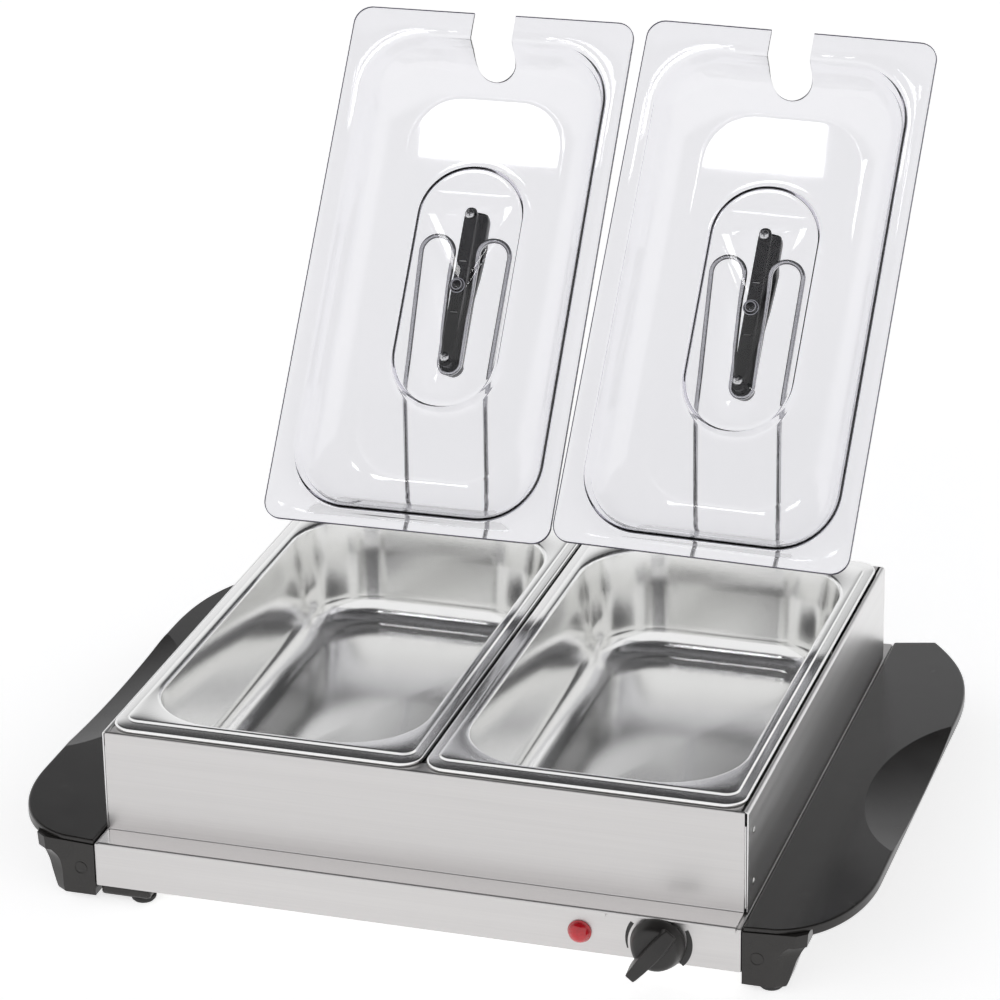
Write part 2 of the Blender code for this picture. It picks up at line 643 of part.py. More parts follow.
def stand(deck, side):
    """One bent wire: two legs, two shoulders, and a U between them that holds the handle."""
    along = Vector((0, math.sin(WIRE_LEAN), math.cos(WIRE_LEAN)))
    kink = Vector((0, WIRE_Y, WIRE_KINK_Z + STAND_RISE[side]))

    def upper(x, s):
        return Vector((x, 0, 0)) + kink + along * s

    shoulder_r = (SHOULDER_HALF - SLOT_HALF) / 2
    shoulder_x = SLOT_HALF + shoulder_r
    shoulder_s = ARCH_TOP - shoulder_r
    half = bent([(LEG_HALF, WIRE_Y, 0.0093), tuple(upper(LEG_HALF, 0)),
                 tuple(upper(SHOULDER_HALF, shoulder_s))], 0.030, 4)
    half += [upper(x, s) for x, s in arc((shoulder_x, shoulder_s), shoulder_r, 15, 180, 10)]
    half += [upper(x, s) for x, s in arc((0, U_BOTTOM + SLOT_HALF), SLOT_HALF, 0, -90, 6)]
    other = [Vector((-p.x, p.y, p.z)) for p in reversed(half[:-1])]
    x = SIDES[side] * LID_X + WIRE_SHIFT_X[side]
    tube(f"wire_stand_{side}", half + other, WIRE_R, "chromed wire", deck, (x, 0, 0))


# ---------------------------------------------------------------- lids

def lid(deck, side):
    """A clear domed lid seen from inside: local X across, Y up the lid, dome towards -Z."""
    lean_up = Vector((0, math.sin(LID_LEAN), math.cos(LID_LEAN)))
    edge = Vector((SIDES[side] * LID_X, LID_EDGE_Y, LID_EDGE_Z + STAND_RISE[side]))
    turn = (Matrix.Rotation(math.pi / 2 - LID_LEAN, 3, "X")
            @ Matrix.Rotation(LID_ROLL[side], 3, "Z")).to_euler()
    frame = empty(f"lid_frame_{side}", edge + lean_up * LID_HALF_LENGTH, turn, deck)
    lid_sheet(frame, side)
    lid_handle(frame, side)


def lid_sheet(frame, side):
    """The moulded sheet: flange, dome, handle well, spoon notch, screw holes and a boss."""
    flange = -0.0009
    dome_y = -0.0025
    rings = [rounded_rectangle(LID_HALF_X, LID_HALF_LENGTH, 0.0110, flange),
             rounded_rectangle(0.0772, 0.1497, 0.0370, flange, dome_y),
             rounded_rectangle(0.0757, 0.1482, 0.0360, -0.0026, dome_y),
             rounded_rectangle(0.0722, 0.1447, 0.0340, -0.0120, dome_y),
             rounded_rectangle(0.0670, 0.1395, 0.0330, -0.0200, dome_y),
             rounded_rectangle(0.0600, 0.1325, 0.0320, -0.0247, dome_y),
             rounded_rectangle(0.0500, 0.1225, 0.0310, -DOME_DEPTH, dome_y),
             rounded_rectangle(0.0345, 0.0775, 0.0340, -DOME_DEPTH, HANDLE_V),
             rounded_rectangle(0.0336, 0.0766, 0.0331, -DOME_DEPTH + 0.0012, HANDLE_V),
             rounded_rectangle(0.0326, 0.0756, 0.0321, -WELL_DEPTH - 0.0014, HANDLE_V),
             rounded_rectangle(0.0312, 0.0742, 0.0307, -WELL_DEPTH, HANDLE_V)]
    name = f"lid_{side}"
    cover = place(name, loft_mesh(name, rings), "clear plastic", frame)
    thicken(cover, LID_SHEET)
    notch_r = 0.0130
    notch_y = 0.1415
    ring = arc((0, notch_y), notch_r, 180, 360, 12) + [(notch_r, 0.180), (-notch_r, 0.180)]
    slot = loft_mesh(name + "_slot", [[(x, y, z) for x, y in ring] for z in (-0.040, 0.010)],
                     cap_first=True)
    combine(cover, place(slot.name, slot, None, frame))
    for sign in (-1, 1):
        at = (0, HANDLE_V + sign * SCREW_PITCH / 2, -WELL_DEPTH)
        cutter_disc(cover, 0.0020, at, "Z", 0.004, 16)
    boss = disc_mesh(name + "_boss", 0.0046, 0.0, 0.0030, "Z", 20)
    place_at = (0, HANDLE_V, -WELL_DEPTH)
    combine(cover, place(boss.name, boss, None, frame, place_at), "UNION")


def lid_handle(frame, side):
    """A black T-section handle behind the well floor, and its two screws."""
    foot = -WELL_DEPTH - LID_SHEET / 2 - GAP
    under = -0.0355
    sections = [(0.0040, 0.0505, foot), (0.0040, 0.0505, under), (0.0072, 0.0520, under - 0.0002),
                (0.0078, 0.0526, under - 0.0012), (0.0078, 0.0526, under - 0.0060),
                (0.0066, 0.0512, under - 0.0085), (0.0040, 0.0480, under - 0.0098)]
    rings = [rounded_rectangle(x, y, x - 0.0004, z, 0.0, 4) for x, y, z in sections]
    name = f"lid_handle_{side}"
    mesh = loft_mesh(name, rings, cap_first=True)
    grip = place(name, mesh, "black plastic", frame, (0, HANDLE_V, 0))
    for i, sign in enumerate((1, -1)):
        bore = disc_mesh(name + "_bore", 0.0018, foot - 0.008, foot + 0.002, "Z", 14)
        at = (0, HANDLE_V + sign * SCREW_PITCH / 2, 0)
        combine(grip, place(bore.name, bore, None, frame, at))
        head = [(0.0, 0.0016), (0.0020, 0.0015), (0.0029, 0.0009), (0.0030, 0.0003),
                (0.0014, 0.0003), (0.0014, -0.0095), (0.0, -0.0095)]
        seat = -WELL_DEPTH + LID_SHEET / 2
        turned(f"handle_screw_{side}_{i + 1}", head, "zinc", frame,
               (0, HANDLE_V + sign * SCREW_PITCH / 2, seat), steps=16)


deck_frame = empty("deck", (0, DECK_Y, DECK_Z))
base_shell(deck_frame)
bottom_plate(deck_frame)
feet(deck_frame)
knob(deck_frame)
controls(deck_frame)
heating(deck_frame)
inlet(deck_frame)
pan_frame(deck_frame)
for hand in SIDES:
    wing(deck_frame, hand)
    leg_block(deck_frame, hand, "front")
    leg_block(deck_frame, hand, "rear")
    stand_socket(deck_frame, hand)
    pan(deck_frame, hand)
    stand(deck_frame, hand)
    lid(deck_frame, hand)
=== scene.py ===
"""Looks for the twin buffet server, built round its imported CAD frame."""
import math

import bmesh
import bpy
from mathutils import Matrix, Vector


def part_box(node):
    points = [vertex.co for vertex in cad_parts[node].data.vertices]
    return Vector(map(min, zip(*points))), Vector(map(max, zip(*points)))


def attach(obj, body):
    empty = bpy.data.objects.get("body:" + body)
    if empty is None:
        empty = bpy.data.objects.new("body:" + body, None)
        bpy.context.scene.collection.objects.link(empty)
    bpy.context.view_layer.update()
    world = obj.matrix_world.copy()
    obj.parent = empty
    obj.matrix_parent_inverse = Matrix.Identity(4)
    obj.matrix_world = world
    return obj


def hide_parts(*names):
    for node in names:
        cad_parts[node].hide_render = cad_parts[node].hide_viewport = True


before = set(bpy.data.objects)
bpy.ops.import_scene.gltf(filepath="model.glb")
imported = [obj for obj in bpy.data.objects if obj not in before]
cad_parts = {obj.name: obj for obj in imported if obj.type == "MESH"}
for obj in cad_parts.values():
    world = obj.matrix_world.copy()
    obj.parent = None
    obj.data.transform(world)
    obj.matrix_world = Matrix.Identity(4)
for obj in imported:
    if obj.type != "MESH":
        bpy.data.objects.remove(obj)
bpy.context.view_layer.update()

# ---------------------------------------------------------------- places read from the frame
PAN_LOW, PAN_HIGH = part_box("pan_left")
BASE_LOW, BASE_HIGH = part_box("base_shell")
DECK = Vector((0.0, (PAN_LOW.y + PAN_HIGH.y) / 2, BASE_HIGH.z))     # middle of the base's top
BASE_HALF_X = BASE_HIGH.x
BASE_FRONT = BASE_LOW.y - DECK.y
BASE_REAR = BASE_HIGH.y - DECK.y

# ---------------------------------------------------------------- sizes shared with the CAD (m)
SIDES = {"left": -1, "right": 1}
GAP = 0.0003
SHEET = 0.0009

FRAME_HALF_Y = 0.16445
FRAME_TOP = 0.0596
FRONT_HALF_X = 0.1786

WING_TOP = 0.0011
WING_THICKNESS = 0.0058
WING_TILT = math.radians(3.0)
POCKET_ROOF = 0.0022
LEG_REACH = 0.0355

KNOB = Vector((0.137, BASE_FRONT, -0.0135))
KNOB_STANDOFF = Vector((0, -0.0022, 0))
POINTER_ANGLE = math.radians(231.5)
LAMP = Vector((0.0938, BASE_FRONT, -0.0135))
LENS_RADIUS = 0.0060
COLLAR_RADIUS = 0.00648

PAN_X = 0.089
PAN_HALF_X = 0.088
PAN_HALF_Y = 0.1625
PAN_TOP = 0.0625
PAN_SHEET = 0.0008
PAN_FLOOR = 0.0009
PAN_FILLET = 0.0160

STAND_RISE = {"left": 0.0, "right": 0.003}
WIRE_SHIFT_X = {"left": 0.0, "right": -0.0007}
WIRE_LEAN = math.radians(32.0)
WIRE_Y = 0.168
WIRE_KINK_Z = 0.1396
WIRE_RADIUS = 0.0015
WIRE_FOOT_Z = 0.0093

LID_X = 0.0903
LID_HALF_X = 0.088
LID_HALF_LENGTH = 0.1625
LID_SHEET = 0.0026
LID_LEAN = math.radians(38.5)
LID_ROLL = {"left": math.radians(0.45), "right": math.radians(-0.8)}
LID_EDGE = Vector((0, 0.0812, 0.0866))
DOME_DEPTH = 0.0270
WELL_DEPTH = 0.0209
NOTCH_RADIUS = 0.0130
NOTCH_V = 0.1415
HANDLE_V = -0.0037
SCREW_PITCH = 0.0905

# ---------------------------------------------------------------- sizes of the looks alone (m)
LID_WALL = 0.0019
PAN_CROWN = 0.0020
GRIP_MARKS_V = (-0.0160, 0.0160)
SCOOP_RADII = Vector((0.083, 0.136, 0.0172))
SCOOP_X, SCOOP_Y, SCOOP_Z = 0.0833, -0.002, 0.0129

PIECES = bpy.data.collections.new("looks")
COVERS = bpy.data.collections.new("lit_covers")     # what the softboxes shine on
CUTTERS = []
bpy.context.scene.collection.children.link(PIECES)


# ---------------------------------------------------------------- camera and light
camera_data = bpy.data.cameras.new("camera")
camera_data.lens = 153.725
camera_data.sensor_width = 36.0
camera_data.clip_end = 30.0
camera = bpy.data.objects.new("camera", camera_data)
camera.location = (0.65659, -2.12786, 1.10616)
camera.rotation_euler = (1.17199, 0.0149, 0.30038)
bpy.context.scene.collection.objects.link(camera)
bpy.context.scene.camera = camera
bpy.context.scene.view_settings.view_transform = "Standard"


def softbox(name, location, target, size, power):
    """A rectangular light, level across the view, that shines on the lids alone."""
    data = bpy.data.lights.new(name, "AREA")
    data.shape = "RECTANGLE"
    data.size, data.size_y = size
    data.energy = power
    lamp = bpy.data.objects.new(name, data)
    aim = (Vector(target) - Vector(location)).normalized()
    across = (Vector((1, 0, 0)) - aim * aim.x).normalized()
    turn = Matrix((across, across.cross(aim), -aim)).transposed()
    lamp.matrix_world = Matrix.Translation(location) @ turn.to_4x4()
    lamp.light_linking.receiver_collection = COVERS
    bpy.context.scene.collection.objects.link(lamp)


softbox("upper_left", (-0.838, -1.078, 2.435), (-0.09, 0.23, 0.34), (0.17, 0.10), 0.45)
softbox("upper_middle", (-0.508, -1.095, 2.480), (0.09, 0.23, 0.34), (0.145, 0.09), 0.35)


def node(tree, kind, **values):
    """A new shader node with its inputs or settings filled in by name."""
    made = tree.nodes.new(kind)
    for key, value in values.items():
        if key in made.inputs:
            made.inputs[key].default_value = value
        else:
            setattr(made, key, value)
    return made


def two_colours(tree, *stops):
    """A colour ramp between two (position, colour) stops."""
    ramp = node(tree, "ShaderNodeValToRGB")
    for element, (position, colour) in zip(ramp.color_ramp.elements, stops):
        element.position = position
        element.color = colour
    return ramp


def studio_sky():
    """Soft light that is bright round the horizon, higher in front than behind, and dim above."""
    axis = (0.0, 0.208, 1.0)
    bright_to, dim_from = 0.585, 0.665
    bright, dim = (0.95, 0.95, 0.96, 1.0), (0.06, 0.06, 0.062, 1.0)
    world = bpy.data.worlds.new("studio")
    world.use_nodes = True
    tree = world.node_tree
    sky = tree.nodes["Background"]
    place = node(tree, "ShaderNodeTexCoord")
    height = node(tree, "ShaderNodeVectorMath", operation="DOT_PRODUCT")
    height.inputs[1].default_value = axis
    ramp = two_colours(tree, (bright_to, bright), (dim_from, dim))
    ramp.color_ramp.interpolation = "EASE"
    tree.links.new(place.outputs["Generated"], height.inputs[0])
    tree.links.new(height.outputs["Value"], ramp.inputs["Fac"])
    tree.links.new(ramp.outputs["Color"], sky.inputs["Color"])
    bpy.context.scene.world = world


studio_sky()


# ---------------------------------------------------------------- materials
def surface(name, colours, rough, grain, bump=None, coarse=None, detail=3.0, **sockets):
    """A Principled finish: two colours and a roughness range spread by a stretched noise.

    grain and coarse are features per metre along each axis, bump is (strength, depth in metres),
    and sockets are values of the shader's own inputs, with _ for each space.
    """
    mat = bpy.data.materials.new(name)
    mat.use_nodes = True
    tree = mat.node_tree
    shader = tree.nodes["Principled BSDF"]
    for key, value in sockets.items():
        shader.inputs[key.replace("_", " ")].default_value = value
    place = node(tree, "ShaderNodeTexCoord")
    fine_map = node(tree, "ShaderNodeMapping", Scale=grain)
    fine = node(tree, "ShaderNodeTexNoise", Scale=1.0, Detail=detail, Roughness=0.6)
    wide_map = node(tree, "ShaderNodeMapping", Scale=coarse or [g / 9 for g in grain])
    wide = node(tree, "ShaderNodeTexNoise", Scale=1.0, Detail=2.0, Roughness=0.5)
    blend = node(tree, "ShaderNodeMath", operation="MULTIPLY_ADD")
    blend.inputs[1].default_value = 0.5
    half = node(tree, "ShaderNodeMath", operation="MULTIPLY")
    half.inputs[1].default_value = 0.5
    ramp = two_colours(tree, (0.32, (*colours[0], 1.0)), (0.68, (*colours[1], 1.0)))
    spread = node(tree, "ShaderNodeMapRange", **{"From Min": 0.3, "From Max": 0.7,
                                                 "To Min": rough[0], "To Max": rough[1]})
    link = tree.links.new
    for mapping, noise in ((fine_map, fine), (wide_map, wide)):
        link(place.outputs["Object"], mapping.inputs["Vector"])
        link(mapping.outputs["Vector"], noise.inputs["Vector"])
    link(wide.outputs["Fac"], half.inputs[0])
    link(fine.outputs["Fac"], blend.inputs[0])
    link(half.outputs[0], blend.inputs[2])
    link(blend.outputs[0], ramp.inputs["Fac"])
    link(ramp.outputs["Color"], shader.inputs["Base Color"])
    link(blend.outputs[0], spread.inputs["Value"])
    link(spread.outputs["Result"], shader.inputs["Roughness"])
    if bump:
        relief = node(tree, "ShaderNodeBump", Strength=bump[0], Distance=bump[1])
        link(fine.outputs["Fac"], relief.inputs["Height"])
        link(relief.outputs["Normal"], shader.inputs["Normal"])
    return mat


STEEL_X = surface("brushed_steel_across", ((0.61, 0.597, 0.592), (0.66, 0.647, 0.640)),
                  (0.33, 0.39), (9, 1100, 1100), (0.05, 0.00003), Metallic=1.0)
# Painted light: the side panels' steel has its grain along y and a lighter colour than the
# front's.
STEEL_Y_PAINTED_LIGHTER = surface("brushed_steel_along_painted_lighter", ((0.76, 0.755, 0.75), (0.82, 0.815, 0.81)), (0.30, 0.36),
                  (1100, 9, 1100), (0.04, 0.00003), Metallic=1.0)
# Painted light: a much lighter copy of the front sheet's steel, for its up-facing flange.
LEDGE_PAINTED_LIGHT = surface("brushed_ledge_painted_light", ((0.90, 0.885, 0.88), (0.94, 0.925, 0.92)), (0.14, 0.20),
                (9, 1100, 1100), (0.03, 0.00002), Metallic=1.0)
PRESSED = surface("pressed_steel", ((0.87, 0.87, 0.86), (0.91, 0.91, 0.90)), (0.13, 0.18),
                  (1400, 1400, 900), (0.02, 0.00001), (22, 22, 9), Metallic=1.0)
CHROME = surface("chromed_wire", ((0.50, 0.50, 0.51), (0.62, 0.62, 0.63)), (0.05, 0.12),
                 (500, 500, 90), (0.05, 0.00002), Metallic=1.0)
ZINC = surface("zinc_plate", ((0.50, 0.50, 0.49), (0.62, 0.62, 0.60)), (0.30, 0.42),
               (400, 400, 400), (0.08, 0.00003), Metallic=1.0)
CLEAR = surface("clear_plastic", ((0.915, 0.918, 0.922), (0.935, 0.937, 0.942)), (0.010, 0.028),
                (160, 160, 160), None, (14, 14, 14), IOR=1.50, Transmission_Weight=1.0)
absorb = node(CLEAR.node_tree, "ShaderNodeVolumeAbsorption",
              Color=(0.80, 0.79, 0.84, 1.0), Density=220.0)
CLEAR.node_tree.links.new(absorb.outputs["Volume"],
                          CLEAR.node_tree.nodes["Material Output"].inputs["Volume"])
# Painted shade: a dark lavender finish for thin lines that stand in for the clear flange's dark
# refraction edges.
PAINTED_EDGE_SHADE = surface("painted_edge_shade", ((0.15, 0.14, 0.19), (0.22, 0.21, 0.28)), (0.10, 0.18),
               (700, 700, 700), None, (90, 90, 90))
# Painted highlight: a pale lavender finish for rings that stand in for the boss's glints.
BOSS_GLINT = surface("painted_boss_glint", ((0.50, 0.50, 0.56), (0.62, 0.62, 0.68)), (0.06, 0.12),
               (900, 900, 900), None, (200, 200, 200), IOR=1.50, Transmission_Weight=0.3)
BLACK = surface("black_plastic", ((0.014, 0.0125, 0.0115), (0.022, 0.020, 0.018)), (0.21, 0.28),
                (2300, 2300, 2300), (0.10, 0.00003), (60, 60, 60))
GLOSS_BLACK = surface("handle_plastic", ((0.006, 0.006, 0.006), (0.011, 0.011, 0.011)),
                      (0.16, 0.26), (1500, 1500, 1500), (0.06, 0.00003), (70, 70, 70),
                      Specular_IOR_Level=0.25)
KNOB_BLACK = surface("knob_plastic", ((0.013, 0.012, 0.011), (0.021, 0.019, 0.018)), (0.30, 0.42),
                     (2600, 2600, 2600), (0.20, 0.00004), (90, 90, 90))
RUBBER = surface("black_rubber", ((0.010, 0.010, 0.010), (0.020, 0.019, 0.019)), (0.62, 0.78),
                 (1400, 1400, 1400), (0.25, 0.00006))
INK = surface("printed_ink", ((0.018, 0.017, 0.017), (0.030, 0.029, 0.028)), (0.40, 0.50),
              (12, 900, 900), None)
RED = surface("red_lens", ((0.30, 0.002, 0.008), (0.50, 0.006, 0.016)), (0.04, 0.08),
              (900, 900, 900), (0.45, 0.00025), (260, 260, 260), IOR=1.5, Coat_Weight=0.6,
              Emission_Color=(0.9, 0.01, 0.02, 1.0), Emission_Strength=0.07)
CERAMIC = surface("white_ceramic", ((0.70, 0.69, 0.66), (0.80, 0.79, 0.76)), (0.45, 0.6),
                  (500, 500, 500), (0.10, 0.00005))
WOOL = surface("mineral_wool", ((0.55, 0.50, 0.34), (0.74, 0.68, 0.50)), (0.85, 0.98),
               (700, 700, 700), (0.6, 0.0006))
SLEEVE = surface("wire_sleeve", ((0.68, 0.67, 0.63), (0.78, 0.77, 0.73)), (0.5, 0.65),
                 (1500, 1500, 1500), (0.3, 0.0001))
FLOOR = surface("studio_floor", ((0.90, 0.90, 0.90), (0.93, 0.93, 0.93)), (0.7, 0.8),
                (3, 3, 3), Emission_Color=(1.0, 1.0, 1.0, 1.0), Emission_Strength=0.66)


# ---------------------------------------------------------------- mesh helpers
def to_mesh(name, bm, sharp=32.0):
    """A smooth-shaded mesh from bm, with edges over sharp degrees kept crisp."""
    bmesh.ops.recalc_face_normals(bm, faces=bm.faces)
    mesh = bpy.data.meshes.new(name)
    bm.to_mesh(mesh)
    bm.free()
    smooth(mesh, sharp)
    return mesh


def smooth(mesh, sharp=32.0):
    """Smooth shading, broken at edges over sharp degrees."""
    mesh.polygons.foreach_set("use_smooth", [True] * len(mesh.polygons))
    mesh.set_sharp_from_angle(angle=math.radians(sharp))


def add(name, mesh, finish, matrix=None):
    """A new piece in the scene with one finish."""
    obj = bpy.data.objects.new(name, mesh)
    PIECES.objects.link(obj)
    if matrix is not None:
        obj.matrix_world = matrix
    if finish is not None:
        obj.data.materials.clear()
        obj.data.materials.append(finish)
    return obj


def on_deck(x=0.0, y=0.0, z=0.0, turn=None):
    """A matrix that puts a piece at a spot measured from the base's top."""
    spot = Matrix.Translation(DECK + Vector((x, y, z)))
    return spot @ turn.to_4x4() if turn is not None else spot


def freeze(obj):
    """Replace a piece's mesh by the result of its modifiers."""
    bpy.context.view_layer.update()
    seen = bpy.context.evaluated_depsgraph_get()
    frozen = bpy.data.meshes.new_from_object(obj.evaluated_get(seen))
    obj.modifiers.clear()
    obj.data = frozen


def settle(obj, body, slot, *nodes):
    """Freeze a piece's modifiers, then tie it to its body and hide the nodes it stands for; slot
    is not used.
    """
    if obj.modifiers:
        freeze(obj)
    bpy.context.view_layer.update()
    obj.data.transform(obj.matrix_world)
    obj.matrix_world = Matrix.Identity(4)
    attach(obj, body)
    if nodes:
        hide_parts(*nodes)
    return obj


def modify(obj, kind, **values):
    """Add a modifier and fill in its settings."""
    step = obj.modifiers.new(kind.lower(), kind)
    for key, value in values.items():
        setattr(step, key, value)
    return step


def round_edges(obj, width, segments=2, angle=40.0):
    """Bevel the edges that bend by more than angle degrees."""
    modify(obj, "BEVEL", width=width, segments=segments, limit_method="ANGLE",
           angle_limit=math.radians(angle), use_clamp_overlap=True, harden_normals=False)


def combine(obj, other, operation="DIFFERENCE"):
    """Cut other away from obj, or join it on; drop_cutters() deletes other."""
    other.hide_render = True
    modify(obj, "BOOLEAN", object=other, operation=operation, solver="EXACT")
    CUTTERS.append(other)


def drop_cutters():
    """Delete the shapes that combine() used."""
    for tool in CUTTERS:
        bpy.data.objects.remove(tool, do_unlink=True)
    CUTTERS.clear()


def arc(centre, radius, start, end, steps):
    """Points of an arc in a plane, from start to end in degrees."""
    angles = [math.radians(start + (end - start) * i / steps) for i in range(steps + 1)]
    return [(centre[0] + radius * math.cos(a), centre[1] + radius * math.sin(a)) for a in angles]


def bent(points, radius, steps=3):
    """The path through points with each corner rounded to radius."""
    path = [Vector(points[0])]
    for before, corner, after in zip(points, points[1:], points[2:]):
        corner = Vector(corner)
        back = (Vector(before) - corner).normalized()
        ahead = (Vector(after) - corner).normalized()
        half = back.angle(ahead) / 2
        reach = radius / math.tan(half)
        centre = corner + (back + ahead).normalized() * radius / math.sin(half)
        start = corner + back * reach - centre
        end = corner + ahead * reach - centre
        sweep = start.angle(end)
        for i in range(steps + 1):
            t = i / steps
            a = math.sin((1 - t) * sweep) / math.sin(sweep)
            b = math.sin(t * sweep) / math.sin(sweep)
            path.append(centre + start * a + end * b)
    path.append(Vector(points[-1]))
    return path


def bezier(p0, p1, p2, p3, steps):
    """Points of a cubic Bezier curve."""
    points = []
    for i in range(steps + 1):
        t = i / steps
        s = 1 - t
        weights = (s ** 3, 3 * s * s * t, 3 * s * t * t, t ** 3)
        points.append(tuple(sum(w * p[k] for w, p in zip(weights, (p0, p1, p2, p3)))
                            for k in range(len(p0))))
    return points


def rounded_rectangle(half_x, half_y, radius, z, centre_y=0.0, steps=14):
    """A ring of points, four arcs of steps segments, at height z."""
    ring = []
    for sx, sy, start in ((1, 1, 0), (-1, 1, 90), (-1, -1, 180), (1, -1, 270)):
        middle = (sx * (half_x - radius), centre_y + sy * (half_y - radius))
        ring += [(x, y, z) for x, y in arc(middle, radius, start, start + 90, steps)]
    return ring


def loft(name, rings, cap_first=False, cap_last=True, sharp=32.0):
    """A skin over rings that have equally many points."""
    bm = bmesh.new()
    loops = [[bm.verts.new(p) for p in ring] for ring in rings]
    for lower, upper in zip(loops, loops[1:]):
        count = len(lower)
        for i in range(count):
            j = (i + 1) % count
            bm.faces.new((lower[i], lower[j], upper[j], upper[i]))
    if cap_first:
        bm.faces.new(list(reversed(loops[0])))
    if cap_last:
        bm.faces.new(loops[-1])
    return to_mesh(name, bm, sharp)


def revolve(name, profile, steps=48, sharp=32.0):
    """A solid of revolution about Z from (radius, height) pairs that start and end on the axis."""
    bm = bmesh.new()
    rings = []
    for radius, height in profile:
        if radius < 1e-6:
            rings.append([bm.verts.new((0, 0, height))])
        else:
            rings.append([bm.verts.new((radius * math.cos(a), radius * math.sin(a), height))
                          for a in (2 * math.pi * i / steps for i in range(steps))])
    for lower, upper in zip(rings, rings[1:]):
        for i in range(steps):
            j = (i + 1) % steps
            corners = [lower[i % len(lower)], lower[j % len(lower)],
                       upper[j % len(upper)], upper[i % len(upper)]]
            unique = list(dict.fromkeys(corners))
            if len(unique) > 2:
                bm.faces.new(unique)
    return to_mesh(name, bm, sharp)


def add_block(bm, low, high):
    """Add a box between two corners to bm."""
    corners = bmesh.ops.create_cube(bm, size=1.0)["verts"]
    bmesh.ops.scale(bm, vec=[h - l for l, h in zip(low, high)], verts=corners)
    bmesh.ops.translate(bm, vec=[(l + h) / 2 for l, h in zip(low, high)], verts=corners)


def block(name, low, high):
    """A box between two corners."""
    bm = bmesh.new()
    add_block(bm, low, high)
    return to_mesh(name, bm)


def rail(name, path, radius, finish, matrix, sides=16):
    """A round bar swept along a path as one welded mesh with flat ends."""
    bm = bmesh.new()
    path = [Vector(p) for p in path]
    loops = []
    across = None
    for i, spot in enumerate(path):
        ahead = (path[min(i + 1, len(path) - 1)] - path[max(i - 1, 0)]).normalized()
        if across is None:
            across = ahead.orthogonal().normalized()
        across = (across - ahead * across.dot(ahead)).normalized()
        other = ahead.cross(across)
        loops.append([bm.verts.new(spot + (across * math.cos(a) + other * math.sin(a)) * radius)
                      for a in (2 * math.pi * k / sides for k in range(sides))])
    for lower, upper in zip(loops, loops[1:]):
        for k in range(sides):
            m = (k + 1) % sides
            bm.faces.new((lower[k], lower[m], upper[m], upper[k]))
    bm.faces.new(list(reversed(loops[0])))
    bm.faces.new(loops[-1])
    return add(name, to_mesh(name, bm, 50.0), finish, matrix)


def refined(name, source, finish, body, slot, bevel=0.0, sharp=32.0):
    """A welded, smooth-shaded copy of a CAD node, with softened edges where asked."""
    bm = bmesh.new()
    bm.from_mesh(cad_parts[source].data)
    bmesh.ops.remove_doubles(bm, verts=bm.verts, dist=0.000002)
    bmesh.ops.dissolve_limit(bm, angle_limit=math.radians(0.6), verts=bm.verts, edges=bm.edges)
    obj = add(name, to_mesh(name, bm, sharp), finish)
    if bevel:
        round_edges(obj, bevel, 2, 55.0)
    modify(obj, "WEIGHTED_NORMAL", keep_sharp=True)
    return settle(obj, body, slot, source)


# ---------------------------------------------------------------- pan frame
def front_panel():
    """The folded front: a lip over the base's edge in two tabs with round ends, and the wall."""
    half = SHEET / 2
    top = FRAME_TOP - half
    front = -FRAME_HALF_Y + half
    lip_y = BASE_FRONT - 0.0014 + half
    lip_depth, hem_depth, fold = 0.0045, 0.0100, 0.0010
    flange_z = GAP + half
    path = bent([(lip_y, flange_z - lip_depth), (lip_y, flange_z), (front, flange_z), (front, top),
                 (front + hem_depth, top)], fold, 5)
    tabs = ((-FRONT_HALF_X, 0.1084), (0.1605, FRONT_HALF_X))    # the knob sits between them
    corner = 0.0030
    hem_half_x = 0.1762
    stops = set()
    for low, high in tabs:
        for i in range(9):
            inset = corner * (1 - math.cos(math.radians(90 * i / 8)))
            stops |= {round(low + inset, 6), round(high - inset, 6)}
    stops |= {round(-0.16 + 0.02 * i, 6) for i in range(17)}
    stops = sorted(s for s in stops if abs(s) <= FRONT_HALF_X + 1e-9)
    stops = [s for i, s in enumerate(stops) if i == 0 or s - stops[i - 1] > 1e-6]

    def lift(x):
        """How much shorter the lip is near a tab's round ends."""
        for low, high in tabs:
            if low - 1e-9 <= x <= high + 1e-9:
                near = min(x - low, high - x)
                if near < corner:
                    return corner - math.sqrt(max(corner ** 2 - (corner - near) ** 2, 0.0))
                return 0.0
        return None

    bm = bmesh.new()
    columns = []
    for x in stops:
        column = []
        for i, (y, z) in enumerate(path):
            rise = (lift(x) or 0.0) if i == 0 else 0.0
            column.append(bm.verts.new((x, y, z + rise)))
        columns.append(column)
    for (x0, a), (x1, b) in zip(zip(stops, columns), zip(stops[1:], columns[1:])):
        middle = (x0 + x1) / 2
        for i in range(len(path) - 1):
            if i == 0 and lift(middle) is None:
                continue
            past_hem = i >= len(path) - 2 and abs(middle) > hem_half_x
            if not past_hem:
                bm.faces.new((a[i], b[i], b[i + 1], a[i + 1]))
    loose = [v for v in bm.verts if not v.link_faces]
    bmesh.ops.delete(bm, geom=loose, context="VERTS")
    obj = add("front_panel", to_mesh("front_panel", bm), STEEL_X, on_deck())
    # The flat flange faces, which look up, take the lighter steel copy: painted light.
    obj.data.materials.append(LEDGE_PAINTED_LIGHT)
    for face in obj.data.polygons:
        on_flange = abs(face.center.z - flange_z) < 0.00005
        face.material_index = int(on_flange)
    modify(obj, "SOLIDIFY", thickness=SHEET, offset=0.0)
    round_edges(obj, 0.00022, 2, 60.0)
    modify(obj, "WEIGHTED_NORMAL", keep_sharp=True)
    settle(obj, "frame", "brushed_steel", "frame_front")


